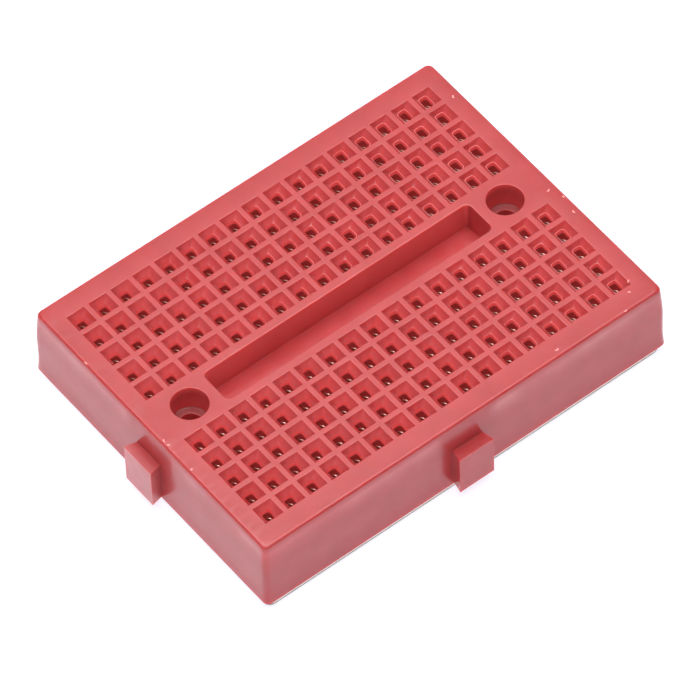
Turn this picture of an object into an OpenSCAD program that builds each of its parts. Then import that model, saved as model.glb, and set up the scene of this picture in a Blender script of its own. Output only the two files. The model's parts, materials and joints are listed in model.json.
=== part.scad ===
// Mini solderless breadboard: one moulded housing, a spring clip under every group of five tie points,
// an adhesive foam pad and its release liner.
// The origin is at the centre of the underside, +X runs along the columns and +Z points up.

/* [Tie-point grid] */
// Distance between neighbouring tie points
pitch = 2.54; // [2.5:0.01:2.6]
// Number of columns
columns = 17; // [9:1:17]
// Tie points in one column of one block
rows = 5; // [3:1:5]
// Distance across the ravine between the two innermost rows
block_gap = 7.62; // [7.4:0.02:7.8]

/* [Housing] */
// Base edge to the nearest column centre
end_margin = 3.22; // [3.1:0.02:3.6]
// Base edge to the nearest row centre
side_margin = 3.57; // [3.5:0.01:3.8]
// Height of the housing above the foam
body_h = 8.3; // [8:0.1:9]
// How far each side leans in between base and top
draft = 0.29; // [0.05:0.01:0.4]
// Radius of the four upright edges
corner_r = 0.6; // [0.4:0.1:1]
// Bevel around the top face
top_edge = 0.25; // [0.1:0.05:0.4]

/* [Tie points] */
// Side of the square lead-in at the top face
mouth_w = 1.98; // [1.8:0.01:2.1]
// Depth of the lead-in
mouth_depth = 0.7; // [0.5:0.05:0.9]
// Width of the throat below the lead-in, along X
throat_x = 1.0; // [0.9:0.05:1.2]
// Length of the throat, along Y
throat_y = 1.2; // [1:0.05:1.4]
// Depth at which the throat opens into the clip slot
ceiling_depth = 1.3; // [1.1:0.05:1.5]

/* [Clip slots] */
// Width of the slot that holds a clip
slot_w = 1.94; // [1.8:0.02:2]
// Length of the slot beyond its outer tie points
slot_end = 1.2; // [1.15:0.05:1.3]

/* [Ravine] */
// Length of the ravine
ravine_l = 31.1; // [20:0.1:31.5]
// Width of the ravine
ravine_w = 3.8; // [3:0.1:4]
// Depth of the ravine
ravine_depth = 3.3; // [2:0.1:3.6]
// Radius of the ravine's upright corners
ravine_r = 0.6; // [0.3:0.1:1]

/* [Screw holes] */
// Distance between the two screw holes
screw_spacing = 37; // [36.6:0.1:37.4]
// Diameter of the through hole
screw_d = 2.2; // [2:0.1:2.4]
// Diameter of the counterbore for the screw head
head_d = 3.6; // [3.2:0.1:4]
// Depth of the counterbore
head_depth = 3; // [2:0.1:4]

/* [Dovetails] */
// Width of a tab where it leaves the housing
tab_root_w = 3.5; // [3:0.1:4]
// Width of a tab at its outer face
tab_tip_w = 4; // [3.6:0.1:4.6]
// Reach of a tab beyond the base edge
tab_reach = 1.2; // [1:0.1:1.4]
// Height of a tab above the foam
tab_h = 4.9; // [3:0.1:6]
// Play around a tab in the neighbour's slot
tab_play = 0.12; // [0.05:0.01:0.2]

/* [Contact clips] */
// Thickness of the clip's sheet metal
clip_t = 0.2; // [0.15:0.01:0.25]
// Outer width of the clip's channel
clip_w = 1.7; // [1.6:0.02:1.76]
// Length of one contact leaf along Y
leaf_l = 1.9; // [1.6:0.1:2.1]
// Height of the unslit channel
channel_h = 3; // [2:0.1:3.4]
// Height of the pinch above the foam
pinch_h = 6; // [5:0.1:6.2]
// Height of the leaf tips above the foam
tip_h = 6.8; // [6.5:0.05:6.85]
// Open gap at the pinch
pinch_gap = 0.16; // [0.05:0.01:0.3]
// Open gap between the leaf tips
tip_gap = 0.72; // [0.5:0.02:1]

/* [Base] */
// Thickness of the foam pad
foam_t = 1; // [0.8:0.1:1.5]
// Thickness of the release liner
liner_t = 0.1; // [0.08:0.01:0.2]
// How far the foam pad lies inside the base edge
foam_inset = 0.4; // [0.2:0.1:1]

/* [Hidden] */
$fn = 64;
// Cutters run this far past the faces that they open
over = 1;
// Overlap that keeps a throat from ending flush with its slot
eps = 0.01;
grid_l = (columns - 1) * pitch;
body_l = grid_l + 2 * end_margin;
body_w = block_gap + 2 * (rows - 1) * pitch + 2 * side_margin;
base_z = liner_t + foam_t;
block_y = (block_gap + (rows - 1) * pitch) / 2;
slot_l = (rows - 1) * pitch + 2 * slot_end;
// Free length at each end of a clip in its slot
clip_play = 0.15;
clip_l = slot_l - 2 * clip_play;
// A leaf stays upright for this much above the channel
leaf_rise = 0.4;
leaf_bend_h = channel_h + leaf_rise;
// Radius of the corners of the foam pad and the liner
pad_r = 0.8;
// Depth to which a tab is rooted in the housing
embed = 1;
BLOCKS = ["a", "b"];
CLIPS = [for (b = BLOCKS) for (c = [1 : columns]) clip_name(b, c)];

function clip_name(block, c) = str("contact_clip_", block, c < 10 ? "0" : "", c);
function column_x(c) = (c - (columns + 1) / 2) * pitch;
function block_sign(block) = block == "a" ? 1 : -1;
function row_y(block, r) = block_sign(block) * (block_gap / 2 + (r - 1) * pitch);

// Outline of the drafted, bevelled housing seen along one axis, for half the base's size
function side_outline(half) = [
    [-half, 0],
    [half, 0],
    [half - draft, body_h - top_edge],
    [half - draft - top_edge, body_h],
    [-half + draft + top_edge, body_h],
    [-half + draft, body_h - top_edge],
];

// One lead-in and its throat seen from the side, with its mouth at the top face
function lead_in(throat) = [
    [-throat / 2, body_h - ceiling_depth - eps],
    [throat / 2, body_h - ceiling_depth - eps],
    [throat / 2, body_h - mouth_depth],
    [mouth_w / 2, body_h],
    [mouth_w / 2, body_h + over],
    [-mouth_w / 2, body_h + over],
    [-mouth_w / 2, body_h],
    [-throat / 2, body_h - mouth_depth],
];

// Sweeps a side view along Y or along X
module along_y(length) rotate([90, 0, 0]) linear_extrude(length, center = true) children();
module along_x(length) rotate([90, 0, 90]) linear_extrude(length, center = true) children();

module rounded_rect(l, w, r) {
    square([l - 2 * r, w], center = true);
    square([l, w - 2 * r], center = true);
    for (x = [-1, 1], y = [-1, 1])
        translate([x * (l / 2 - r), y * (w / 2 - r)]) circle(r);
}

module body_block() {
    intersection() {
        along_y(body_w + 2 * over) polygon(side_outline(body_l / 2));
        along_x(body_l + 2 * over) polygon(side_outline(body_w / 2));
        linear_extrude(body_h) rounded_rect(body_l, body_w, corner_r);
    }
}

// Square lead-ins: grooves along Y, kept only where they cross the grooves along X
module tie_points() {
    intersection() {
        union() for (c = [1 : columns])
            translate([column_x(c), 0, 0]) along_y(body_w) polygon(lead_in(throat_x));
        union() for (b = BLOCKS, r = [1 : rows])
            translate([0, row_y(b, r), 0]) along_x(body_l) polygon(lead_in(throat_y));
    }
}

module clip_slots() {
    for (b = BLOCKS, c = [1 : columns])
        translate([column_x(c) - slot_w / 2, block_sign(b) * block_y - slot_l / 2, -over])
            cube([slot_w, slot_l, body_h - ceiling_depth + over]);
}

module ravine() {
    translate([0, 0, body_h - ravine_depth])
        linear_extrude(ravine_depth + over) rounded_rect(ravine_l, ravine_w, ravine_r);
}

module screw_holes() {
    for (side = [-1, 1]) translate([side * screw_spacing / 2, 0, 0]) {
        translate([0, 0, -over]) cylinder(h = body_h + 2 * over, d = screw_d);
        translate([0, 0, body_h - head_depth]) cylinder(h = head_depth + over, d = head_d);
    }
}

// Dovetail that points along +Y from a face at y = 0; its sides widen outwards
module dovetail(play) {
    polygon([
        [-tab_root_w / 2 - play, -embed],
        [tab_root_w / 2 + play, -embed],
        [tab_root_w / 2 + play, 0],
        [tab_tip_w / 2 + play, tab_reach + play],
        [-tab_tip_w / 2 - play, tab_reach + play],
        [-tab_root_w / 2 - play, 0],
    ]);
}

// Tabs on the -X and -Y sides
module tabs() {
    translate([-body_l / 2, 0, 0]) rotate(90) linear_extrude(tab_h) dovetail(0);
    translate([0, -body_w / 2, 0]) rotate(180) linear_extrude(tab_h) dovetail(0);
}

// Slots on the +X and +Y sides that take a neighbour's tabs, open at the base
module tab_slots() {
    height = tab_h + tab_play + over;
    translate([0, 0, -over]) {
        translate([body_l / 2, 0, 0]) rotate(90) linear_extrude(height) dovetail(tab_play);
        translate([0, body_w / 2, 0]) rotate(180) linear_extrude(height) dovetail(tab_play);
    }
}

module housing() {
    color("indianred") translate([0, 0, base_z]) difference() {
        union() {
            body_block();
            tabs();
        }
        tie_points();
        clip_slots();
        ravine();
        screw_holes();
        tab_slots();
    }
}

// The right-hand leaf of a contact seen along Y: up, in to the pinch, then out to the tip
function leaf_outline() = [
    [clip_w / 2, channel_h - clip_t],
    [clip_w / 2, leaf_bend_h],
    [pinch_gap / 2 + clip_t, pinch_h],
    [tip_gap / 2 + clip_t, tip_h],
    [tip_gap / 2, tip_h],
    [pinch_gap / 2, pinch_h],
    [clip_w / 2 - clip_t, leaf_bend_h],
    [clip_w / 2 - clip_t, channel_h - clip_t],
];

module clip_channel() {
    along_y(clip_l) difference() {
        translate([-clip_w / 2, 0]) square([clip_w, channel_h]);
        translate([clip_t - clip_w / 2, clip_t]) square([clip_w - 2 * clip_t, channel_h]);
    }
}

module contact_clip(block, c) {
    color("silver") translate([column_x(c), block_sign(block) * block_y, base_z]) {
        clip_channel();
        for (r = [1 : rows], side = [0, 1])
            translate([0, (r - (rows + 1) / 2) * pitch, 0])
                mirror([side, 0, 0]) along_y(leaf_l) polygon(leaf_outline());
    }
}

module foam_pad() {
    color("ivory") translate([0, 0, liner_t])
        linear_extrude(foam_t) rounded_rect(body_l - 2 * foam_inset, body_w - 2 * foam_inset, pad_r);
}

module release_liner() {
    color("white")
        linear_extrude(liner_t) rounded_rect(body_l - 2 * foam_inset, body_w - 2 * foam_inset, pad_r);
}

housing();
for (b = BLOCKS, c = [1 : columns])
    contact_clip(b, c);
foam_pad();
release_liner();
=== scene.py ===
import json
import math
import random

import bmesh
import bpy
from mathutils import Matrix, Vector, noise
from mathutils.geometry import delaunay_2d_cdt


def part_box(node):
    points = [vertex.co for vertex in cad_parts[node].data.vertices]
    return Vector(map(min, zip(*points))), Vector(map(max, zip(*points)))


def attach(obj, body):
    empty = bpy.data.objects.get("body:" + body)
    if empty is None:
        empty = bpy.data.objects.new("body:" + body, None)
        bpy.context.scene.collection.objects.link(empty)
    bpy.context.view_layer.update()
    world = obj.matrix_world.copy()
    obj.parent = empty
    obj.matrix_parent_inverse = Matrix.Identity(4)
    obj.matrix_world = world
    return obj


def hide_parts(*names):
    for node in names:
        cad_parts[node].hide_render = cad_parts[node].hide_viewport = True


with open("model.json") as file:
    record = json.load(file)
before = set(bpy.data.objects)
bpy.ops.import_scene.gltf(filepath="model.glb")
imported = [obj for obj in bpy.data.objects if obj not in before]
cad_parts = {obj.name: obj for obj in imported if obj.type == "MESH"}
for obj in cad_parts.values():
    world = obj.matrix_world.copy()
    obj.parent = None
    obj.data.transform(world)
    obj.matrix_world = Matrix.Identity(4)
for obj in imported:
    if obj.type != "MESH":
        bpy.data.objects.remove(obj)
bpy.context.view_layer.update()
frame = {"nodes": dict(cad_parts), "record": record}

# ---- Sizes, in millimetres above the housing's base, taken from the frame where it has them ----
MM = 0.001


def node_box(node):
    low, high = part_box(node)
    return low / MM, high / MM


def mount(name):
    return next(m for m in frame["record"]["mounts"] if m["name"] == name)


HOUSING_LOW, HOUSING_HIGH = node_box("housing")
HALF_X, HALF_Y = HOUSING_HIGH.x, HOUSING_HIGH.y
BASE_Z, TOP_Z = HOUSING_LOW.z, HOUSING_HIGH.z
BODY_H = TOP_Z - BASE_Z
TAB_REACH = -HOUSING_LOW.x - HALF_X
CLIPS = sorted(n for n in frame["nodes"] if n.startswith("contact_clip_"))
CLIP_BOX = {n: node_box(n) for n in CLIPS}
CLIP_CENTRE = {n: (low + high) / 2 for n, (low, high) in CLIP_BOX.items()}
PITCH = CLIP_CENTRE["contact_clip_a02"].x - CLIP_CENTRE["contact_clip_a01"].x
ROWS = 5
ROW_OFFSETS = [(r - (ROWS - 1) / 2) * PITCH for r in range(ROWS)]
GRID_END = max(c.x for c in CLIP_CENTRE.values())

# Housing: the walls flare at the foot, stand upright and lean in above the shoulder
DRAFT = 0.29
CORNER_R = 0.6
TOP_EDGE_R = 0.32
TOP_EDGE_STEPS = 5
FOOT_FLARE = 0.1
FOOT_H = 2.2
SHOULDER_Z = 4.6
SHOULDER_POWER = 1.6
WALL_STEPS = 12
# Sharp edges are bevelled, and an outline has a point about every step
EDGE_BEVEL = 0.05
EDGE_SHARP_DEG = 40
STRAIGHT_DEG = 0.5
EDGE_STEP = 0.6

# Tie points: a square mouth with a rounded rim lightened by a painted highlight, sloping walls and a
# rounded throat with a raised lip
MOUTH_W = 1.98
MOUTH_DEPTH = 0.7
MOUTH_RIM = 0.05
MOUTH_CORNER = 0.015
THROAT_X = 1.0
THROAT_CORNER = 0.26
THROAT_WOBBLE = 0.02
# Rings of the rounded rim: (beyond the mouth, depth, corner radius, share of the painted highlight)
RIM_RINGS = (
    (MOUTH_RIM + 0.04, 0.0, 0.12, 1.0),
    (MOUTH_RIM, 0.0, 0.09, 1.0),
    (MOUTH_RIM * 0.3, MOUTH_RIM * 0.35, 0.06, 0.5),
)
# Rings of the lip: (share of the slope, drop, share of its height, paleness, drawn inwards)
LIP = 0.055
LIP_RINGS = (
    (0.94, 0.0, 0.0, 0.0, 0.0),
    (0.985, 0.0, 0.7, 0.3, 0.0),
    (1.0, 0.0, 1.0, 1.0, 0.0),
    (1.0, 0.02, 0.9, 0.6, 0.04),
    (1.0, 0.04, 0.0, 0.0, 0.04),
)
# The throat is plain from this far below the lip, and flares by a little just above its ceiling
LIP_FOOT = 0.1
CEILING_DEPTH = 1.3
CEILING_EDGE = 0.06
THROAT_FLARE = 0.02
# From a tie point's centre to its throat's near and far sides; the far side moves out along a row:
# (at the left end, growth over the row, power of the growth)
THROAT_NEAR = 0.6
THROAT_FAR_BACK = (0.5, 0.33, 1.5)
THROAT_FAR_FRONT = (0.6, 0.16, 1)
THROAT_FAR_SPREAD = 0.03
# Flash on the right, far and left lips, which grows along a row: (at the left end,
# share of the row where growth starts, growth over a whole row, most)
FLASH_BACK = ((0.1, 0.0, 1.5, 0.8), (0.0, 0.38, 1.9, 1.0), (0.0, 0.55, 3.0, 1.0))
FLASH_FRONT = ((0.0, 0.3, 1.3, 0.6), (0.1, 0.4, 1.3, 1.0), (0.0, 0.5, 2.2, 1.0))
FLASH_SPREAD = (0.7, 1.2)

# Slots for the clips
SLOT_W = 1.94
SLOT_L = 12.56
SLOT_CORNER = 0.2
SLOT_FLARE = 0.08
SLOT_FLARE_H = 0.12

# Seed of the small differences between the tie points
HOUSING_SEED = 7

# Ravine and screw holes; a rim is (beyond the outline, depth) from the top face down
RAVINE_L = 31.1
RAVINE_W = 3.8
RAVINE_DEPTH = 3.3
RAVINE_R = 0.6
RAVINE_DRAFT = 0.07
RAVINE_FILLET = 0.2
RAVINE_RIM = ((0.16, 0.0), (0.12, 0.0), (0.045, 0.03), (0.0, 0.12))
HEAD_R = mount("head_seat_left")["dims"]["r_mm"]
HEAD_DEPTH = mount("head_seat_left")["dims"]["length_mm"]
HEAD_RIM = ((0.1, 0.0), (0.06, 0.0), (0.02, 0.02), (0.0, 0.07))
SCREW_R = mount("screw_holes")["dims"]["hole_r_mm"]
SCREW_X = mount("screw_holes")["dims"]["spacing_x_mm"] / 2

# Curled slivers of flash on the top face: x, y, length, heading in degrees
BURR_R = 0.06
BURR_H = 0.03
BURR_TURN_DEG = (70, 150)
BURR_SIDES = 6
BURR_STEPS = 7
# Share of the radius left at the tips, and the power by which the tube swells between them
BURR_TIP = 0.35
BURR_SWELL = 0.7
BURRS = [
    (22.4, 12.4, 0.4, 60),
    (22.1, -1.7, 0.4, 20),
    (22.9, -3.3, 0.3, 110),
    (22.6, -5.3, 0.4, 80),
    (21.2, -14.7, 0.4, 20),
    (20.7, -15.7, 0.3, 150),
    (18.8, -17.0, 0.4, 10),
    (11.1, -16.4, 0.5, 10),
    (-23.1, 9.5, 0.4, 100),
    (-22.9, -2.0, 0.4, 60),
    (-22.8, -2.6, 0.3, 140),
    (-23.0, -5.9, 0.3, 20),
]

# Dovetails
TAB_ROOT_W = 3.5
TAB_TIP_W = 4.0
TAB_H = 4.9
TAB_PLAY = 0.12
TAB_EMBED = 1.0
# How far the cutter of a tab slot runs past the base
CUT_BELOW = 1.0

# Clips
CLIP_T = 0.2
CLIP_W = 1.7
CHANNEL_H = 3.0
CHANNEL_MID_H = CHANNEL_H * 0.6
CHANNEL_BEND_R = 0.28
BEND_STEPS = 3
LEAF_L = 1.9
LEAF_STEPS = 6
LEAF_TAPER_H = 1.0
LEAF_TIP_W = 0.84
LEAF_LEAN = 0.05
LEAF_LINES = (-1, -0.85, -0.65, -0.35, 0, 0.2, 0.4, 0.6, 0.85, 1)
PINCH_H = 6.0
PINCH_GAP = 0.16
TIP_H = 6.7
TIP_T = 0.09
# The cup above the pinch: (share of the height, share of the full radius)
CUP_R = 0.29
CUP_PROFILE = [(0.12, 0.45), (0.25, 0.72), (0.4, 0.88), (0.6, 0.96), (0.93, 1.0), (1.0, 1.0)]

# Foam pad and liner, from the top down: (inset, share of the thickness)
PAD_CORNER_R = 0.8
FOAM_LEVELS = (
    (0.3, 1.0),
    (0.1, 1.0),
    (0.02, 0.9),
    (0.07, 0.5),
    (0.02, 0.1),
    (0.1, 0.0),
    (0.3, 0.0),
)
FOAM_RIPPLE = 0.03
# Waves of the ripple, per mm along the edge and over the thickness
RIPPLE_PER_MM = 0.8
RIPPLE_OVER_THICKNESS = 3
LINER_LEVELS = ((0.06, 1.0), (0.02, 1.0), (0.0, 0.7), (0.0, 0.3), (0.02, 0.0), (0.06, 0.0))


# ---- Looks: how much of a layer a place has runs from 0 to 1 ----
PLASTIC_DARK = (0.53, 0.063, 0.067)
PLASTIC_LIGHT = (0.59, 0.074, 0.079)
PLASTIC_SHADED = (0.22, 0.012, 0.014)
# Pale flash: stressed thin plastic, and partly a painted highlight along the lips
FLASH_COLOUR = (0.95, 0.28, 0.28)
ROUGH = 0.2
ROUGH_SPREAD = 0.06
SSS_W = 1.0
SSS_R = (1.0, 0.25, 0.2)
SSS_MM = 0.8
# Painted light from the plastic: glow for light through it, brighter glow on thin flash, pale sheen
# for reflections
GLOW = (0.45, 0.052, 0.052)
FLASH_GLOW = (0.43, 0.15, 0.15)
PAINTED_SHEEN_COLOUR = (0.24, 0.21, 0.22)

# Painted shade, a darker base colour: screw seats with what lies this close to them in height, tops
# of the tabs, and the lowest edge of the outer walls
SEAT_SHADE = 0.55
SEAT_BAND = 0.05
TAB_SHADE = 0.28
FOOT_SHADE = 0.6
FOOT_SHADE_H = 0.15
# Painted highlight on the rims of the mouths, as an amount of flash colour
RIM_HIGHLIGHT = 0.06

# Painted glow and sheen of a lead-in's walls: the glow at the mouth and at the throat, the painted
# light that the far wall adds and the painted shade of the left and near walls, which lose it; they
# fade in over these distances from the centre
WALL_GLOW = (0.09, 0.26)
WALL_SHEEN = 0.05
FAR_WALL_GLOW = 0.15
DIM_WALL = 0.85
WALL_FADE = (0.2, 0.5)
# Painted glow in the throat, at its ceiling and in the clip slot
THROAT_GLOW = 0.95
CEILING_GLOW = 0.68
SLOT_GLOW = 0.26
# Painted glow of the ravine's far wall at the bottom and at the top
RAVINE_GLOW = (0.12, 0.5)
# Painted glow of a counterbore's wall, and of its far side close to the top face
HOLE_GLOW = 0.12
HOLE_RIM_GLOW = 0.42
HOLE_RIM_DEPTH = 0.9
HOLE_RIM_START = -0.5

# Painted glow and sheen on the outer walls start above this height, are full at one depth, and fade
# out at the top edge
GLOW_Z = 4.8
GLOW_FULL_DEPTH = 1.0
GLOW_FADE_DEPTH = (0.02, 0.7)
# Amounts on the left wall and on the front wall at its left and right ends
SHOULDER_GLOW = (0.07, 0.27, 0.08)
SHOULDER_SHEEN = (0.38, 0.14, 0.55)
# The back and right walls have this share of the left wall's amounts
HIDDEN_WALL_SHARE = 0.6
# None above the middle of a tab, and all of it from this far along the wall
TAB_CLEAR = (2.2, 3.6)
# Painted sheen on the tabs
TAB_SHEEN = 0.3
# A wall is what lies this close to the base outline, and a tab what lies this far beyond it
WALL_BAND = 0.7
TAB_BAND = 0.1

# Dark bronze, darker than the bare metal as painted shade for the dim slots, and a faint painted
# reddish glow
BRONZE_LIGHT = (0.26, 0.13, 0.10)
BRONZE_DARK = (0.18, 0.08, 0.065)
BRONZE_GLOW = (0.09, 0.010, 0.008)
# Painted glints on the leaf tips: bright spots in colour and glow, on the listed lines, brighter on
# the front clips
PAINTED_GLINT_COLOUR = (0.80, 0.56, 0.50)
PAINTED_GLINT_GLOW = (0.75, 0.47, 0.43)
SPARK_LINES = (0.2, 0.4)
DULL_EDGE = 0.05
FRONT_SPARK = (0.4, 0.9)
BACK_SPARK = (0.12, 0.4)

FOAM_DARK = (0.84, 0.82, 0.77)
FOAM_LIGHT = (0.93, 0.91, 0.87)
# Painted glow that brightens the foam in the shade under the housing
FOAM_GLOW = (1.0, 0.93, 0.85)
FOAM_GLOW_STRENGTH = 0.2
LINER_DARK = (0.70, 0.68, 0.62)
LINER_LIGHT = (0.78, 0.76, 0.71)

# ---- Studio, in metres, watts and degrees ----
# name, diameter, power, azimuth and elevation
SOFTBOXES = [
    ("key", 0.76, 5.0, -100, 86),
    ("panel", 0.6, 0.66, 144, 49),
]
SOFTBOX_AWAY = 0.6
WORLD = 0.08
# The floor lies just below the liner and gives off its own light, with painted shade: dimmer and
# bluer near the object
FLOOR_SIZE = 3.0
FLOOR_Z = -0.00002
FLOOR_ALBEDO = (0.4, 0.4, 0.4)
FLOOR_SHADED_GLOW = (0.749, 0.757, 0.842)
FLOOR_GLOW_FAR = (1.0, 1.0, 1.0)
FLOOR_GLOW_FADE = (0.12, 0.4)
BACKDROP_R = 1.5
CAMERA_SENSOR_MM = 36
CAMERA_LENS_MM = 417.6
CAMERA_CLIP = 0.01
CAMERA_AIM_MM = (-3.4, -4.5, TOP_Z)
CAMERA_AZIMUTH = -36.25
CAMERA_ELEVATION = 53.54
CAMERA_AWAY = 0.7446
CAMERA_ROLL = -2.476


# ---- Mesh helpers ----
# Vertex layers, in order: pale flash, partly a painted highlight; painted glow; painted sheen;
# painted shade; painted glints on the clips
VERTEX_LAYERS = ("flash", "glow", "painted_sheen", "painted_shade", "edge")
# Two places or heights, and two directions, that differ by less than this count as the same
SAME = 1e-4
SAME_TURN = 1e-3
# The triangulation keeps what lies inside the outlines, and merges points closer than this
KEEP_INSIDE = 1
MERGE = 1e-7
# Edges sharper than this stay sharp, and large flat faces weigh this much in the shading
SHARP_DEG = 38
FLATNESS = 80


def fade(value, start, stop):
    """0 before start, 1 after stop and a straight line between."""
    return min(1.0, max(0.0, (value - start) / (stop - start)))


def between(pair, share):
    """A number between the two of a pair, at a share of the way."""
    return pair[0] + (pair[1] - pair[0]) * share


def add_layers(bm):
    for name in VERTEX_LAYERS:
        bm.verts.layers.float.new(name)
    return bm


def ring(bm, points, flash=0.0, glow=0.0, painted_sheen=0.0):
    layers = bm.verts.layers.float
    verts = [bm.verts.new(p) for p in points]
    for v in verts:
        v[layers["flash"]], v[layers["glow"]], v[layers["painted_sheen"]] = flash, glow, painted_sheen
    return verts


def bridge(bm, upper, lower):
    count = len(upper)
    for i in range(count):
        j = (i + 1) % count
        bm.faces.new((upper[i], lower[i], lower[j], upper[j]))


def bridge_all(bm, rings):
    for upper, lower in zip(rings, rings[1:]):
        bridge(bm, upper, lower)


def rounded_rect(x0, x1, y0, y1, radius, z, arc=3, straight=2):
    """Points of a rounded rectangle, anticlockwise, with `straight` points between the corners."""
    corners = [(x1, y0, -90), (x1, y1, 0), (x0, y1, 90), (x0, y0, 180)]
    points = []
    for x, y, start in corners:
        cx = x - math.copysign(radius, x - (x0 + x1) / 2)
        cy = y - math.copysign(radius, y - (y0 + y1) / 2)
        for k in range(arc + 1):
            a = math.radians(start + 90 * k / arc)
            points.append(Vector((cx + radius * math.cos(a), cy + radius * math.sin(a), z)))
    out = []
    for i, p in enumerate(points):
        out.append(p)
        if i % (arc + 1) == arc:
            after = points[(i + 1) % len(points)]
            out += [p.lerp(after, (k + 1) / (straight + 1)) for k in range(straight)]
    return out


def circle(x, y, radius, z, count=64):
    angles = [math.tau * k / count for k in range(count)]
    return [Vector((x + radius * math.cos(a), y + radius * math.sin(a), z)) for a in angles]


def inside(point, loop):
    """True if a point lies inside a closed loop of vertices, seen from above."""
    hit = False
    for a, b in zip(loop, loop[1:] + loop[:1]):
        if (a.co.y > point.y) != (b.co.y > point.y):
            share = (point.y - a.co.y) / (b.co.y - a.co.y)
            hit ^= point.x < a.co.x + (b.co.x - a.co.x) * share
    return hit


def fill_flat(bm, outer, holes):
    """Fills the flat region inside `outer` and outside the convex `holes` with triangles."""
    loops = [outer] + holes
    verts = [v for loop in loops for v in loop]
    owner = [k for k, loop in enumerate(loops) for _ in loop]
    edges, start = [], 0
    for loop in loops:
        count = len(loop)
        edges += [(start + i, start + (i + 1) % count) for i in range(count)]
        start += count
    flat = [v.co.to_2d() for v in verts]
    _, _, faces, origin, _, _ = delaunay_2d_cdt(flat, edges, [], KEEP_INSIDE, MERGE)
    for face in faces:
        ids = [origin[i][0] for i in face]
        owners = {owner[i] for i in ids}
        if owners != {0} and len(owners) == 1:
            continue
        if owners == {0}:
            middle = sum((flat[i] for i in ids), Vector((0, 0))) / 3
            if not inside(middle, outer):
                continue
        bm.faces.new([verts[i] for i in ids])


def scratch_object(bm, name):
    mesh = bpy.data.meshes.new(name)
    bm.to_mesh(mesh)
    bm.free()
    piece = bpy.data.objects.new(name, mesh)
    bpy.context.scene.collection.objects.link(piece)
    return piece


def finish_mesh(bm, name, material, body, nodes, sharp_deg=SHARP_DEG):
    """Makes a shell a riding piece in the CAD nodes' place, raised to the housing's base."""
    bmesh.ops.recalc_face_normals(bm, faces=bm.faces)
    bm.transform(Matrix.Scale(MM, 4) @ Matrix.Translation((0, 0, BASE_Z)))
    piece = scratch_object(bm, name)
    piece.data.shade_smooth()
    piece.data.set_sharp_from_angle(angle=math.radians(sharp_deg))
    piece.data.materials.append(material)
    weighted = piece.modifiers.new("flat_faces_stay_flat", "WEIGHTED_NORMAL")
    weighted.keep_sharp = True
    weighted.weight = FLATNESS
    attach(piece, body)
    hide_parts(*nodes)
    return piece


# ---- Material helpers ----
def node_tree(name):
    """A new material, its node tree, its shader and the object coordinates."""
    material = bpy.data.materials.new(name)
    material.use_nodes = True
    nodes = material.node_tree.nodes
    where = nodes.new("ShaderNodeTexCoord")
    return material, material.node_tree, nodes["Principled BSDF"], where.outputs["Object"]


def noise_node(tree, where, per_mm, detail=3.0, roughness=0.5):
    node = tree.nodes.new("ShaderNodeTexNoise")
    node.inputs["Scale"].default_value = per_mm / MM
    node.inputs["Detail"].default_value = detail
    node.inputs["Roughness"].default_value = roughness
    tree.links.new(where, node.inputs["Vector"])
    return node.outputs["Fac"]


def ramp(tree, value, *stops):
    """A colour ramp: stops are (position, colour or grey)."""
    node = tree.nodes.new("ShaderNodeValToRGB")
    tree.links.new(value, node.inputs["Fac"])
    for element, (position, colour) in zip(node.color_ramp.elements, stops):
        element.position = position
        grey = isinstance(colour, (int, float))
        element.color = (colour, colour, colour, 1) if grey else (*colour, 1)
    return node.outputs["Color"]


def mix(tree, factor, a, b):
    """Mixes two colours; each of the three may be a socket or a plain value."""
    node = tree.nodes.new("ShaderNodeMix")
    node.data_type = "RGBA"
    for value, socket in ((factor, node.inputs[0]), (a, node.inputs[6]), (b, node.inputs[7])):
        if isinstance(value, bpy.types.NodeSocket):
            tree.links.new(value, socket)
        else:
            socket.default_value = (*value, 1)
    return node.outputs[2]


def product(tree, a, b):
    node = tree.nodes.new("ShaderNodeMath")
    node.operation = "MULTIPLY"
    tree.links.new(a, node.inputs[0])
    tree.links.new(b, node.inputs[1])
    return node.outputs[0]


def bump(tree, shader, *layers):
    """Stacks bump layers: (height, strength, depth in mm)."""
    last = None
    for height, strength, depth in layers:
        node = tree.nodes.new("ShaderNodeBump")
        node.inputs["Strength"].default_value = strength
        node.inputs["Distance"].default_value = depth * MM
        tree.links.new(height, node.inputs["Height"])
        if last:
            tree.links.new(last, node.inputs["Normal"])
        last = node.outputs["Normal"]
    tree.links.new(last, shader.inputs["Normal"])


def attribute(tree, name):
    node = tree.nodes.new("ShaderNodeAttribute")
    node.attribute_name = name
    return node.outputs["Fac"]


def glow_with(tree, shader, source, strength=1.0):
    """Gives off light of a plain colour or of a colour socket."""
    if isinstance(source, bpy.types.NodeSocket):
        tree.links.new(source, shader.inputs["Emission Color"])
    else:
        shader.inputs["Emission Color"].default_value = (*source, 1)
    shader.inputs["Emission Strength"].default_value = strength


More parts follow.
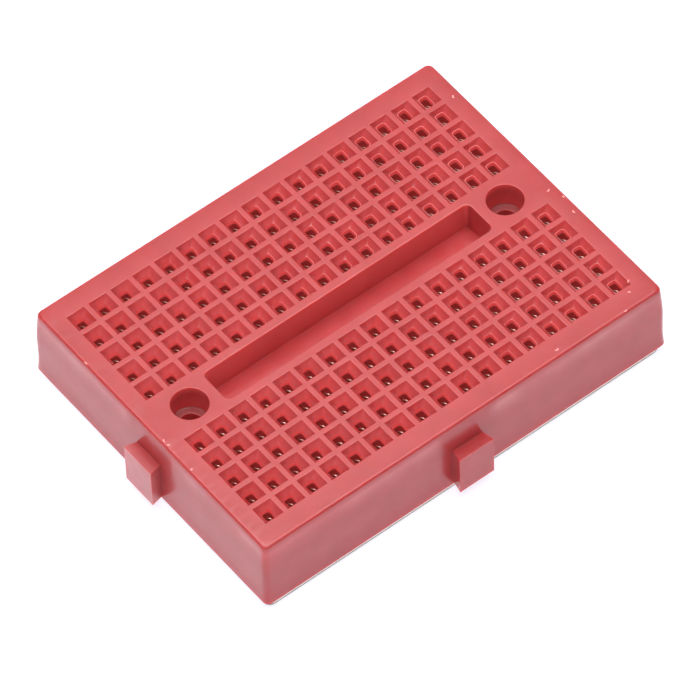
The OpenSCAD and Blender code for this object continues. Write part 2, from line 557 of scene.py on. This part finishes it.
# ---- Materials ----
def plastic_material():
    """Satin red moulded plastic: faint flow mottling, soft sink waves, pale stressed flash, and
    painted light and shade from the vertex layers.
    """
    material, tree, shader, where = node_tree("red_moulded_plastic")
    flow = noise_node(tree, where, per_mm=0.35, detail=4)
    colour = ramp(tree, flow, (0.3, PLASTIC_DARK), (0.7, PLASTIC_LIGHT))
    # Painted shade: a darker base colour where that layer is set
    colour = mix(tree, attribute(tree, "painted_shade"), colour, PLASTIC_SHADED)
    colour = mix(tree, attribute(tree, "flash"), colour, FLASH_COLOUR)
    tree.links.new(colour, shader.inputs["Base Color"])

    # Painted light given off by the surface: glow, patchy painted sheen and the glow of flash
    patches = ramp(tree, noise_node(tree, where, per_mm=0.14), (0.35, 0.35), (0.65, 1.5))
    painted_light = mix(tree, attribute(tree, "glow"), (0, 0, 0), GLOW)
    painted_light = mix(tree, product(tree, attribute(tree, "painted_sheen"), patches), painted_light, PAINTED_SHEEN_COLOUR)
    painted_light = mix(tree, attribute(tree, "flash"), painted_light, FLASH_GLOW)
    glow_with(tree, shader, painted_light)

    satin = noise_node(tree, where, per_mm=1.1, detail=5)
    rough = ramp(tree, satin, (0.3, ROUGH), (0.7, ROUGH + ROUGH_SPREAD))
    tree.links.new(rough, shader.inputs["Roughness"])
    shader.inputs["IOR"].default_value = 1.55
    shader.inputs["Subsurface Weight"].default_value = SSS_W
    shader.inputs["Subsurface Radius"].default_value = SSS_R
    shader.inputs["Subsurface Scale"].default_value = SSS_MM * MM
    sink = noise_node(tree, where, per_mm=0.22, detail=2)
    grain = noise_node(tree, where, per_mm=9.0, detail=2)
    bump(tree, shader, (sink, 0.5, 0.05), (grain, 0.15, 0.003))
    return material


def metal_material():
    """Spring bronze, rolled along the strip, with faint tarnish, a faint painted glow and painted
    glints on the leaf tips.
    """
    material, tree, shader, where = node_tree("spring_bronze")
    tarnish = noise_node(tree, where, per_mm=0.8, detail=4)
    colour = ramp(tree, tarnish, (0.35, BRONZE_LIGHT), (0.7, BRONZE_DARK))
    colour = mix(tree, attribute(tree, "edge"), colour, PAINTED_GLINT_COLOUR)
    tree.links.new(colour, shader.inputs["Base Color"])
    shader.inputs["Metallic"].default_value = 1.0
    # Painted light: a faint reddish glow, and painted glints where the edge layer is set
    glow_with(tree, shader, mix(tree, attribute(tree, "edge"), BRONZE_GLOW, PAINTED_GLINT_GLOW))

    stretch = tree.nodes.new("ShaderNodeMapping")
    stretch.inputs["Scale"].default_value = (1, 0.06, 1)
    tree.links.new(where, stretch.inputs["Vector"])
    rolled = noise_node(tree, stretch.outputs["Vector"], per_mm=14)
    tree.links.new(ramp(tree, rolled, (0.3, 0.3), (0.7, 0.42)), shader.inputs["Roughness"])
    bump(tree, shader, (rolled, 0.2, 0.004))
    return material


def foam_material():
    """Closed-cell foam tape, cut with a die, with a faint painted glow."""
    material, tree, shader, where = node_tree("white_foam_tape")
    cells = tree.nodes.new("ShaderNodeTexVoronoi")
    cells.inputs["Scale"].default_value = 5.5 / MM
    tree.links.new(where, cells.inputs["Vector"])
    pores = cells.outputs["Distance"]
    colour = ramp(tree, pores, (0.0, FOAM_DARK), (0.6, FOAM_LIGHT))
    tree.links.new(colour, shader.inputs["Base Color"])
    glow_with(tree, shader, FOAM_GLOW, FOAM_GLOW_STRENGTH)
    rough = ramp(tree, noise_node(tree, where, per_mm=2.0), (0.3, 0.82), (0.7, 0.95))
    tree.links.new(rough, shader.inputs["Roughness"])
    bump(tree, shader, (pores, 0.5, 0.05), (noise_node(tree, where, per_mm=0.8), 0.3, 0.06))
    return material


def liner_material():
    """Coated release paper with a faint fibre cloud."""
    material, tree, shader, where = node_tree("release_paper")
    cloud = noise_node(tree, where, per_mm=0.7, detail=6, roughness=0.65)
    colour = ramp(tree, cloud, (0.3, LINER_DARK), (0.7, LINER_LIGHT))
    tree.links.new(colour, shader.inputs["Base Color"])
    rough = ramp(tree, noise_node(tree, where, per_mm=3.0, detail=4), (0.3, 0.38), (0.7, 0.5))
    tree.links.new(rough, shader.inputs["Roughness"])
    shader.inputs["Coat Weight"].default_value = 0.15
    bump(tree, shader, (noise_node(tree, where, per_mm=5.0, detail=4), 0.3, 0.01))
    return material


def floor_material():
    """A white table that gives off its own light, dimmer and bluer near the object as painted shade.
    """
    material, tree, shader, where = node_tree("studio_white")
    shader.inputs["Base Color"].default_value = (*FLOOR_ALBEDO, 1)
    shader.inputs["Roughness"].default_value = 0.9
    shader.inputs["Specular IOR Level"].default_value = 0.1
    away = tree.nodes.new("ShaderNodeTexGradient")
    away.gradient_type = "SPHERICAL"
    tree.links.new(where, away.inputs["Vector"])
    near, far = FLOOR_GLOW_FADE
    light = ramp(tree, away.outputs["Fac"], (1 - far, FLOOR_GLOW_FAR), (1 - near, FLOOR_SHADED_GLOW))
    glow_with(tree, shader, light)
    return material


def backdrop_material():
    material, tree, shader, _ = node_tree("studio_backdrop")
    shader.inputs["Base Color"].default_value = (0, 0, 0, 1)
    shader.inputs["Specular IOR Level"].default_value = 0
    glow_with(tree, shader, (1, 1, 1))
    return material


# ---- Housing: the block with its dovetails ----
def wall_inset(z):
    """How far the wall has leaned in at height z, over its flared foot and leaning shoulder."""
    wall_top = BODY_H - TOP_EDGE_R
    foot = min(z / FOOT_H, 1)
    shoulder = max(0.0, (z - SHOULDER_Z) / (wall_top - SHOULDER_Z))
    return FOOT_FLARE * foot * (2 - foot) + (DRAFT - FOOT_FLARE) * shoulder ** SHOULDER_POWER


def outer_profile():
    """(inset from the base outline, height) up the outside: the wall, then the rounded top edge."""
    wall_top = BODY_H - TOP_EDGE_R
    heights = [wall_top * k / WALL_STEPS for k in range(WALL_STEPS + 1)]
    steps = [(wall_inset(z), z) for z in sorted(heights + [FOOT_SHADE_H])]
    for k in range(1, TOP_EDGE_STEPS + 1):
        a = math.radians(90 / TOP_EDGE_STEPS * k)
        steps.append((DRAFT + TOP_EDGE_R * (1 - math.cos(a)), wall_top + TOP_EDGE_R * math.sin(a)))
    return steps


def block_mesh():
    """The plain housing block, closed top and bottom."""
    bm = bmesh.new()
    rings = []
    for inset, z in outer_profile():
        points = rounded_rect(-HALF_X + inset, HALF_X - inset, -HALF_Y + inset, HALF_Y - inset,
                              CORNER_R, z, arc=4, straight=round(2 * HALF_X / EDGE_STEP))
        rings.append([bm.verts.new(p) for p in points])
    bridge_all(bm, rings)
    bm.faces.new(rings[0])
    bm.faces.new(rings[-1])
    bmesh.ops.recalc_face_normals(bm, faces=bm.faces)
    return bm


def dovetail_mesh(turn, x, y, play, bottom):
    """An upright dovetail bar; `turn` points it away from the housing."""
    bm = bmesh.new()
    outline = [
        (-TAB_ROOT_W / 2 - play, -TAB_EMBED),
        (TAB_ROOT_W / 2 + play, -TAB_EMBED),
        (TAB_ROOT_W / 2 + play, 0),
        (TAB_TIP_W / 2 + play, TAB_REACH + play),
        (-TAB_TIP_W / 2 - play, TAB_REACH + play),
        (-TAB_ROOT_W / 2 - play, 0),
    ]
    place = Matrix.Translation((x, y, 0)) @ Matrix.Rotation(math.radians(turn), 4, "Z")
    low = [bm.verts.new(place @ Vector((u, v, bottom))) for u, v in outline]
    high = [bm.verts.new(place @ Vector((u, v, TAB_H + play))) for u, v in outline]
    bridge(bm, high, low)
    bm.faces.new(low)
    bm.faces.new(high)
    bmesh.ops.recalc_face_normals(bm, faces=bm.faces)
    return bm


def baked_copy(piece):
    bpy.context.view_layer.update()
    graph = bpy.context.evaluated_depsgraph_get()
    mesh = bpy.data.meshes.new_from_object(piece.evaluated_get(graph))
    bm = bmesh.new()
    bm.from_mesh(mesh)
    return bm


def above_base(v):
    return v.co.z > SAME


def bevel_edges(bm):
    """Clears spare points along the base's outline, then bevels every sharp edge above it."""
    on_base = [e for e in bm.edges if all(abs(v.co.z) < SAME for v in e.verts)]
    bmesh.ops.dissolve_limit(bm, angle_limit=math.radians(STRAIGHT_DEG), verts=bm.verts,
                             edges=on_base)
    sharp = [e for e in bm.edges if len(e.link_faces) == 2 and any(map(above_base, e.verts))
             and e.calc_face_angle() > math.radians(EDGE_SHARP_DEG)]
    bmesh.ops.bevel(bm, geom=sharp, offset=EDGE_BEVEL, segments=2, profile=0.5,
                    affect="EDGES", clamp_overlap=True)


def block_with_dovetails():
    """Block, tabs and tab slots as one surface with bevelled edges, as a bmesh."""
    block = scratch_object(block_mesh(), "block")
    tools = [
        ("UNION", dovetail_mesh(90, -HALF_X, 0, 0, 0)),
        ("UNION", dovetail_mesh(180, 0, -HALF_Y, 0, 0)),
        ("DIFFERENCE", dovetail_mesh(90, HALF_X, 0, TAB_PLAY, -CUT_BELOW)),
        ("DIFFERENCE", dovetail_mesh(180, 0, HALF_Y, TAB_PLAY, -CUT_BELOW)),
    ]
    others = []
    for k, (operation, bm) in enumerate(tools):
        others.append(scratch_object(bm, f"dovetail_{k}"))
        cut = block.modifiers.new(f"dovetail_{k}", "BOOLEAN")
        cut.operation = operation
        cut.object = others[-1]
        cut.solver = "EXACT"
    baked = baked_copy(block)
    bevel_edges(baked)
    for o in [block, *others]:
        bpy.data.objects.remove(o)
    return baked


def open_flat(bm, z, up):
    """Removes the flat faces at height z that point up or down. Returns the outline left there."""
    def at_height(part):
        return all(abs(v.co.z - z) < SAME for v in part.verts)

    gone = [f for f in bm.faces if abs(f.normal.z - up) < SAME_TURN and at_height(f)]
    bmesh.ops.delete(bm, geom=gone, context="FACES")
    edges = [e for e in bm.edges if e.is_boundary and at_height(e)]
    start = edges[0].verts[0]
    loop, edge, here = [start], edges[0], edges[0].other_vert(start)
    rim = set(edges)
    while here != start:
        loop.append(here)
        edge = next(e for e in here.link_edges if e in rim and e != edge)
        here = edge.other_vert(here)
    return loop


def shoulder_amount(point):
    """The share of painted glow and sheen at a point of the outer walls, and if that is on the
    front.
    """
    at_edge, below_edge = GLOW_FADE_DEPTH
    high = fade(point.z, GLOW_Z, BODY_H - GLOW_FULL_DEPTH)
    high *= fade(point.z, BODY_H - at_edge, BODY_H - below_edge)
    left, front = HALF_X + point.x < WALL_BAND, HALF_Y + point.y < WALL_BAND
    if left:
        high *= fade(abs(point.y), *TAB_CLEAR)
    elif front:
        high *= fade(abs(point.x), *TAB_CLEAR)
    else:
        high *= HIDDEN_WALL_SHARE
    return high * high, front


def mark_outer_walls(bm):
    """Paints glow and sheen on the outer walls, and painted shade on the tab tops and the lowest
    edge.
    """
    glow, painted_sheen, painted_shade = (bm.verts.layers.float[name] for name in ("glow", "painted_sheen", "painted_shade"))
    for v in bm.verts:
        beyond = max(-HALF_X - v.co.x, -HALF_Y - v.co.y)
        on_tab = beyond > TAB_BAND
        if on_tab and abs(v.co.z - TAB_H) < SAME:
            v[painted_shade] = TAB_SHADE
        elif not on_tab and v.co.z < SAME:
            v[painted_shade] = FOOT_SHADE
        if v.co.x < -HALF_X - TAB_REACH + TAB_BAND:
            v[painted_sheen] = TAB_SHEEN
            continue
        amount, front = shoulder_amount(v.co)
        along = fade(v.co.x, -HALF_X, HALF_X)
        for layer, (side, near, far) in ((glow, SHOULDER_GLOW), (painted_sheen, SHOULDER_SHEEN)):
            v[layer] = amount * (between((near, far), along) if front else side)


# ---- Housing: tie points, slots, ravine and screw holes ----
class TiePoint:
    """One square lead-in around (x, y) with its throat. It leaves a mouth ring and an exit ring."""

    def __init__(self, bm, x, y, far, flash, rng):
        self.bm, self.x, self.y, self.far, self.flash = bm, x, y, far, flash
        self.wobble = [rng.uniform(-THROAT_WOBBLE, THROAT_WOBBLE) for _ in range(2)]
        self.layers = bm.verts.layers.float
        rings = self.mouth() + self.throat()
        bridge_all(bm, rings)
        self.mouth_ring, self.exit_ring = rings[0], rings[-1]

    def mouth(self):
        """The rounded rim with its painted highlight, the sloping walls and the lip with its flash.
        """
        rim = [self.level(BODY_H - depth, 0, corner, beyond, RIM_HIGHLIGHT * highlight_share)
               for beyond, depth, corner, highlight_share in RIM_RINGS]
        walls = [self.slope(0, MOUTH_CORNER), self.slope(0.5, THROAT_CORNER * 0.5)]
        return rim + walls + [self.lip(*levels) for levels in LIP_RINGS]

    def throat(self):
        lip_z, ceiling = BODY_H - MOUTH_DEPTH, BODY_H - CEILING_DEPTH
        return [
            self.level(lip_z - LIP_FOOT, 1, THROAT_CORNER, glow=THROAT_GLOW),
            self.level(ceiling + CEILING_EDGE, 1, THROAT_CORNER, glow=CEILING_GLOW),
            self.level(ceiling, 1, THROAT_CORNER, grow=THROAT_FLARE, glow=SLOT_GLOW),
        ]

    def level(self, z, narrow, corner, grow=0.0, flash=0.0, glow=0.0, painted_sheen=0.0):
        """A ring as wide as the mouth (narrow 0) or the throat (narrow 1), and `grow` larger."""
        half = MOUTH_W / 2
        x_half = half + (THROAT_X / 2 - half) * narrow + grow
        y_low = -half + (half - THROAT_NEAR) * narrow - grow
        y_high = half + (self.far - half) * narrow + grow
        left, right = (wobble * narrow for wobble in self.wobble)
        points = rounded_rect(self.x - x_half + left, self.x + x_half + right,
                              self.y + y_low, self.y + y_high, corner, z)
        return ring(self.bm, points, flash, glow, painted_sheen)

    def slope(self, share, corner, drop=0.0):
        """A ring on the sloping wall, `share` of the way from the mouth's rim to the throat."""
        z = BODY_H - MOUTH_RIM - share * (MOUTH_DEPTH - MOUTH_RIM) - drop
        glow = between(WALL_GLOW, share)
        made = self.level(z, share, corner, painted_sheen=WALL_SHEEN)
        for v in made:
            right, up = v.co.x - self.x, v.co.y - self.y
            # Painted light and shade: more glow on the far wall, less glow and sheen on the left and
            # near walls
            lit = 1 - DIM_WALL * max(fade(-right, *WALL_FADE), fade(-up, *WALL_FADE))
            v[self.layers["glow"]] = lit * (glow + FAR_WALL_GLOW * fade(up, *WALL_FADE))
            v[self.layers["painted_sheen"]] *= lit
        return made

    def lip(self, share, drop, height, pale, inward):
        """A slope ring at the throat's edge, raised where there is flash, and pale there as stressed
        flash and a painted highlight.
        """
        made = self.slope(share, THROAT_CORNER * share, drop)
        for v in made:
            amount = self.flash_at(v)
            v[self.layers["flash"]] = pale * amount
            v.co.z += LIP * height * amount
            v.co.x -= (v.co.x - self.x) * inward * amount
            v.co.y -= (v.co.y - self.y) * inward * amount
        return made

    def flash_at(self, v):
        """The flash at a lip vertex, from the amounts on the right, far and left sides."""
        right, top, left = self.flash
        u, w = (v.co.x - self.x) / (THROAT_X / 2), max(0.0, (v.co.y - self.y) / self.far)
        size = math.hypot(u, w) or 1
        u, w = u / size, w / size
        return (right if u > 0 else left) * u * u + top * w * w


def throat_far(along, back, rng):
    """How far a throat reaches from the centre to its far side, at a share of the row."""
    start, growth, power = THROAT_FAR_BACK if back else THROAT_FAR_FRONT
    return start + growth * along ** power + rng.uniform(-THROAT_FAR_SPREAD, THROAT_FAR_SPREAD)


def flash_amounts(along, back, rng):
    """Flash on the right, far and left lips, at a share of the row."""
    amounts = []
    for base, start, growth, most in FLASH_BACK if back else FLASH_FRONT:
        amount = min(most, base + growth * max(0.0, along - start))
        amounts.append(amount * rng.uniform(*FLASH_SPREAD))
    return amounts


def clip_slot(bm, x, y, exits):
    """The slot for one clip: a ceiling with its throats and walls down to the base."""
    ceiling = BODY_H - CEILING_DEPTH
    levels = [
        (0.0, ceiling, SLOT_GLOW),
        (0.0, ceiling / 2, SLOT_GLOW / 2),
        (0.0, SLOT_FLARE_H, 0.0),
        (SLOT_FLARE, 0, 0.0),
    ]
    x0, x1, y0, y1 = x - SLOT_W / 2, x + SLOT_W / 2, y - SLOT_L / 2, y + SLOT_L / 2
    rings = []
    for grow, z, glow in levels:
        points = rounded_rect(x0 - grow, x1 + grow, y0 - grow, y1 + grow, SLOT_CORNER + grow, z)
        rings.append(ring(bm, points, glow=glow))
    bridge_all(bm, rings)
    fill_flat(bm, rings[0], exits)
    return rings[-1]


def ravine(bm):
    """The central channel. Returns its ring on the top face."""
    levels = [(grow, BODY_H - depth) for grow, depth in RAVINE_RIM]
    levels.append((-RAVINE_DRAFT, BODY_H - RAVINE_DEPTH))
    levels.append((-RAVINE_DRAFT - RAVINE_FILLET, BODY_H - RAVINE_DEPTH))
    rings = []
    layer = bm.verts.layers.float["glow"]
    for k, (grow, z) in enumerate(levels):
        points = rounded_rect(-RAVINE_L / 2 - grow, RAVINE_L / 2 + grow, -RAVINE_W / 2 - grow,
                              RAVINE_W / 2 + grow, RAVINE_R + grow, z, arc=6, straight=24)
        rings.append(ring(bm, points, RIM_HIGHLIGHT if z == BODY_H else 0))
        high = (z - BODY_H + RAVINE_DEPTH) / RAVINE_DEPTH
        for v in rings[-1]:
            # Painted glow on the far wall
            far = v.co.y > RAVINE_W / 2 - RAVINE_FILLET
            if far and z < BODY_H and k < len(levels) - 1:
                v[layer] = between(RAVINE_GLOW, high)
    bridge_all(bm, rings)
    fill_flat(bm, rings[-1], [])
    return rings[0]


def hole_levels(seat):
    """(radius, height) down a counterbored hole: rim, wall, seat with soft corners, screw hole."""
    rim = [(HEAD_R + grow, BODY_H - depth) for grow, depth in HEAD_RIM]
    return rim + [
        (HEAD_R, BODY_H - HOLE_RIM_DEPTH),
        (HEAD_R, seat + 0.1),
        (HEAD_R - 0.03, seat + 0.03),
        (HEAD_R - 0.1, seat),
        (SCREW_R + 0.08, seat),
        (SCREW_R + 0.02, seat - 0.02),
        (SCREW_R, seat - 0.08),
        (SCREW_R, 0.1),
        (SCREW_R + 0.06, 0),
    ]


def screw_hole(bm, x):
    """A counterbored hole. Returns its rings on the top face and on the base."""
    seat = BODY_H - HEAD_DEPTH
    rings = [ring(bm, circle(x, 0, radius, z), RIM_HIGHLIGHT / 2 if z == BODY_H else 0,
                  HOLE_GLOW if seat < z < BODY_H else 0) for radius, z in hole_levels(seat)]
    glow, painted_shade = bm.verts.layers.float["glow"], bm.verts.layers.float["painted_shade"]
    for v in (v for made in rings for v in made):
        # Painted glow on the wall, brighter on its far side near the top, and painted shade on the
        # seat
        if SAME < BODY_H - v.co.z < HOLE_RIM_DEPTH - SAME:
            v[glow] = between((HOLE_GLOW, HOLE_RIM_GLOW), fade(v.co.y, HOLE_RIM_START, HEAD_R))
        elif abs(v.co.z - seat) < SEAT_BAND:
            v[glow], v[painted_shade] = 0, SEAT_SHADE
    bridge_all(bm, rings)
    return rings[0], rings[-1]


def burr(bm, x, y, length, heading, rng):
    """A curled sliver of flash on the top face, a thin tapered tube half sunk in it."""
    sides, steps = BURR_SIDES, BURR_STEPS
    turn = math.radians(rng.uniform(*BURR_TURN_DEG)) * rng.choice((-1, 1))
    here = Vector((x, y, BODY_H))
    rings = []
    for k in range(steps + 1):
        t = k / steps
        a = math.radians(heading) + turn * (t - 0.5)
        along = Vector((math.cos(a), math.sin(a), 0))
        across = Vector((-along.y, along.x, 0))
        radius = BURR_R * (BURR_TIP + math.sin(math.pi * t) ** BURR_SWELL)
        angles = [math.tau * j / sides for j in range(sides)]
        points = [here + across * radius * math.cos(b) + Vector((0, 0, BURR_H * math.sin(b)))
                  for b in angles]
        # The flash layer makes the sliver pale and gives it the painted flash glow
        rings.append(ring(bm, points, flash=1.0))
        here = here + along * length / steps
    bridge_all(bm, rings)
    bm.faces.new(rings[0])
    bm.faces.new(rings[-1])


def build_housing(material):
    rng = random.Random(HOUSING_SEED)
    bm = add_layers(block_with_dovetails())
    mark_outer_walls(bm)
    top_loop = open_flat(bm, BODY_H, 1)
    base_loop = open_flat(bm, 0, -1)
    mouths, slots = [], []
    for name in CLIPS:
        centre = CLIP_CENTRE[name]
        along = (centre.x + GRID_END) / (2 * GRID_END)
        back = centre.y > 0
        exits = []
        for offset in ROW_OFFSETS:
            far = throat_far(along, back, rng)
            flash = flash_amounts(along, back, rng)
            point = TiePoint(bm, centre.x, centre.y + offset, far, flash, rng)
            mouths.append(point.mouth_ring)
            exits.append(point.exit_ring)
        slots.append(clip_slot(bm, centre.x, centre.y, exits))
    holes = [screw_hole(bm, side * SCREW_X) for side in (-1, 1)]
    mouths.append(ravine(bm))
    mouths += [upper for upper, _ in holes]
    slots += [lower for _, lower in holes]
    fill_flat(bm, top_loop, mouths)
    fill_flat(bm, base_loop, slots)
    for x, y, length, heading in BURRS:
        burr(bm, x, y, length, heading, rng)
    finish_mesh(bm, "housing_shell", material, "board", ["housing"])


# ---- Contact clips ----
def clip_path():
    """Half of the strip seen along Y, from its base's middle to a tip: (x, z, cup radius)."""
    wall = (CLIP_W - CLIP_T) / 2
    pinch = (PINCH_GAP + TIP_T) / 2
    bend = CHANNEL_BEND_R
    points = [(0.0, CLIP_T / 2, 0), (wall - bend, CLIP_T / 2, 0)]
    for k in range(1, BEND_STEPS + 1):
        a = math.radians(90 / BEND_STEPS * k)
        points.append((wall - bend + bend * math.sin(a), CLIP_T / 2 + bend * (1 - math.cos(a)), 0))
    points += [(wall, CHANNEL_MID_H, 0), (wall, CHANNEL_H, 0)]
    for k in range(1, LEAF_STEPS + 1):
        t = k / LEAF_STEPS
        x = wall + (pinch - wall) * t * t * (3 - 2 * t)
        points.append((x, CHANNEL_H + (PINCH_H - CHANNEL_H) * t, 0))
    for t, opening in CUP_PROFILE:
        z = PINCH_H + (TIP_H - TIP_T / 2 - PINCH_H) * t
        points.append((pinch, z, (CUP_R + TIP_T / 2) * opening))
    return points


def leaf_point(x, z, cup, across, lean):
    """A point of a leaf: `across` runs from -1 to 1 along Y; above the pinch the leaf is cupped."""
    taper_z = CHANNEL_H + LEAF_TAPER_H
    tip = max(0.0, (z - taper_z) / (TIP_H - taper_z))
    y = across * (LEAF_L + (LEAF_TIP_W - LEAF_L) * tip ** 2) / 2
    cupped = math.sqrt(max(0.0, cup * cup - y * y))
    return max(x, cupped) + lean * tip, y


def clip_lines(half_l):
    """Lines up the sheet along Y: (row, place across its leaf), and (None, y) at both ends."""
    leaves = [(row, across) for row in range(ROWS) for across in LEAF_LINES]
    return [(None, -half_l), *leaves, (None, half_l)]


def clip_column(bm, centre, side, row, across, lean, spark):
    """The vertices up one line of the sheet, on the clip's left (side -1) or right (side 1)."""
    full, edge = bm.verts.layers.deform[0], bm.verts.layers.float["edge"]
    column = []
    for x, z, cup in clip_path():
        y = across
        if row is not None:
            x, y = leaf_point(x, z, cup, across, lean)
            y += ROW_OFFSETS[row]
        v = bm.verts.new((centre.x + side * x, centre.y + y, z))
        v[full][0] = fade(-z, -PINCH_H, -CHANNEL_H)
        column.append(v)
    if row is not None:
        # Painted glint at the tip of this line of the leaf
        column[-1][edge] = spark if across in SPARK_LINES else DULL_EDGE
    return column


def clip_side(bm, centre, side, lines, rng):
    """One half of the bent sheet, slit between its leaves above the channel."""
    bright = FRONT_SPARK if centre.y < 0 else BACK_SPARK
    leans = {row: rng.uniform(-LEAF_LEAN, LEAF_LEAN) for row in range(ROWS)}
    sparks = {row: rng.uniform(*bright) for row in range(ROWS)}
    columns = [clip_column(bm, centre, side, row, across, leans.get(row), sparks.get(row))
               for row, across in lines]
    heights = [z for _, z, _ in clip_path()]
    for (row_a, _), (row_b, _), a, b in zip(lines, lines[1:], columns, columns[1:]):
        slit = row_a is None or row_a != row_b
        for k in range(len(heights) - 1):
            if slit and heights[k] >= CHANNEL_H:
                continue
            bm.faces.new((a[k], a[k + 1], b[k + 1], b[k])[::side])


def thicken(piece):
    """Gives the sheet its thickness, less at the leaf tips, ahead of the weighted normals."""
    sheet = piece.modifiers.new("sheet_metal", "SOLIDIFY")
    sheet.thickness = CLIP_T * MM
    sheet.offset = 0
    sheet.vertex_group = piece.vertex_groups.new(name="full_thickness").name
    sheet.thickness_vertex_group = TIP_T / CLIP_T
    piece.modifiers.move(1, 0)


def build_clip(name, material, rng):
    """One five-contact strip: a bent sheet, slit between its leaves and thickened last."""
    centre = CLIP_CENTRE[name]
    low, high = CLIP_BOX[name]
    lines = clip_lines((high.y - low.y) / 2)
    bm = add_layers(bmesh.new())
    bm.verts.layers.deform.new()
    for side in (-1, 1):
        clip_side(bm, centre, side, lines, rng)
    bmesh.ops.delete(bm, geom=[v for v in bm.verts if not v.link_faces], context="VERTS")
    bmesh.ops.remove_doubles(bm, verts=bm.verts, dist=SAME)
    piece = finish_mesh(bm, name.replace("contact_clip", "spring_clip"), material, "board", [name],
                        sharp_deg=50)
    thicken(piece)


# ---- Foam pad and liner ----
def slab_mesh(node, levels, straight, ripple=0.0):
    """A thin sheet as large as its CAD node, with an edge that may be a little wavy."""
    low, high = node_box(node)
    z0, z1 = low.z - BASE_Z, high.z - BASE_Z
    bm = add_layers(bmesh.new())
    rings = []
    for inset, share in levels:
        points = rounded_rect(low.x + inset, high.x - inset, low.y + inset, high.y - inset,
                              PAD_CORNER_R, z0 + (z1 - z0) * share, arc=6, straight=straight)
        for p in points:
            where = Vector((p.x * RIPPLE_PER_MM, p.y * RIPPLE_PER_MM, share * RIPPLE_OVER_THICKNESS))
            wave = abs(ripple * noise.noise(where))
            p.x -= math.copysign(wave, p.x)
            p.y -= math.copysign(wave, p.y)
        rings.append(ring(bm, points))
    bridge_all(bm, rings)
    fill_flat(bm, rings[0], [])
    fill_flat(bm, rings[-1], [])
    return bm


def build_foam(material):
    bm = slab_mesh("foam_pad", FOAM_LEVELS, straight=70, ripple=FOAM_RIPPLE)
    piece = finish_mesh(bm, "foam_tape", material, "board", ["foam_pad"], sharp_deg=60)


def build_liner(material):
    bm = slab_mesh("release_liner", LINER_LEVELS, straight=30)
    finish_mesh(bm, "liner_sheet", material, "liner", ["release_liner"],
                sharp_deg=60)


# ---- Studio ----
def place(thing, aim, azimuth, elevation, distance, roll=0.0):
    """Puts a camera or lamp at an azimuth and elevation from aim, in degrees, looking at it."""
    a, e = math.radians(azimuth), math.radians(elevation)
    back = Vector((math.sin(a) * math.cos(e), -math.cos(a) * math.cos(e), math.sin(e)))
    look = (-back).to_track_quat("-Z", "Y").to_matrix().to_4x4()
    turn = Matrix.Rotation(math.radians(roll), 4, "Z")
    thing.matrix_world = Matrix.Translation(aim + back * distance) @ look @ turn


def build_floor():
    bpy.ops.mesh.primitive_plane_add(size=FLOOR_SIZE, location=(0, 0, FLOOR_Z))
    floor = bpy.context.object
    floor.name = "studio_floor"
    floor.data.materials.append(floor_material())


def build_backdrop():
    """A white dome that only the camera sees, so that it adds no light."""
    bpy.ops.mesh.primitive_uv_sphere_add(segments=48, ring_count=24, radius=BACKDROP_R)
    dome = bpy.context.object
    dome.name = "studio_backdrop"
    dome.data.materials.append(backdrop_material())
    dome.visible_diffuse = False
    dome.visible_glossy = False
    dome.visible_transmission = False
    dome.visible_volume_scatter = False
    dome.visible_shadow = False


def softbox(name, size, power, azimuth, elevation):
    data = bpy.data.lights.new(name, "AREA")
    data.shape = "DISK"
    data.size = size
    data.energy = power
    lamp = bpy.data.objects.new(name, data)
    lamp.visible_camera = False
    bpy.context.scene.collection.objects.link(lamp)
    place(lamp, Vector((0, 0, 0)), azimuth, elevation, SOFTBOX_AWAY)


def build_studio():
    world = bpy.data.worlds.new("studio")
    bpy.context.scene.world = world
    world.use_nodes = True
    world.node_tree.nodes["Background"].inputs["Color"].default_value = (1, 1, 1, 1)
    world.node_tree.nodes["Background"].inputs["Strength"].default_value = WORLD
    for name, size, power, azimuth, elevation in SOFTBOXES:
        softbox(name, size, power, azimuth, elevation)
    build_floor()
    build_backdrop()
    bpy.context.scene.view_settings.view_transform = "Standard"


def build_camera():
    data = bpy.data.cameras.new("camera")
    data.sensor_width = CAMERA_SENSOR_MM
    data.lens = CAMERA_LENS_MM
    data.clip_start = CAMERA_CLIP
    camera = bpy.data.objects.new("camera", data)
    bpy.context.scene.collection.objects.link(camera)
    aim = Vector(CAMERA_AIM_MM) * MM
    place(camera, aim, CAMERA_AZIMUTH, CAMERA_ELEVATION, CAMERA_AWAY, CAMERA_ROLL)
    bpy.context.scene.camera = camera


build_camera()
build_studio()
build_housing(plastic_material())
metal = metal_material()
for clip in CLIPS:
    build_clip(clip, metal, random.Random(clip))
build_foam(foam_material())
build_liner(liner_material())
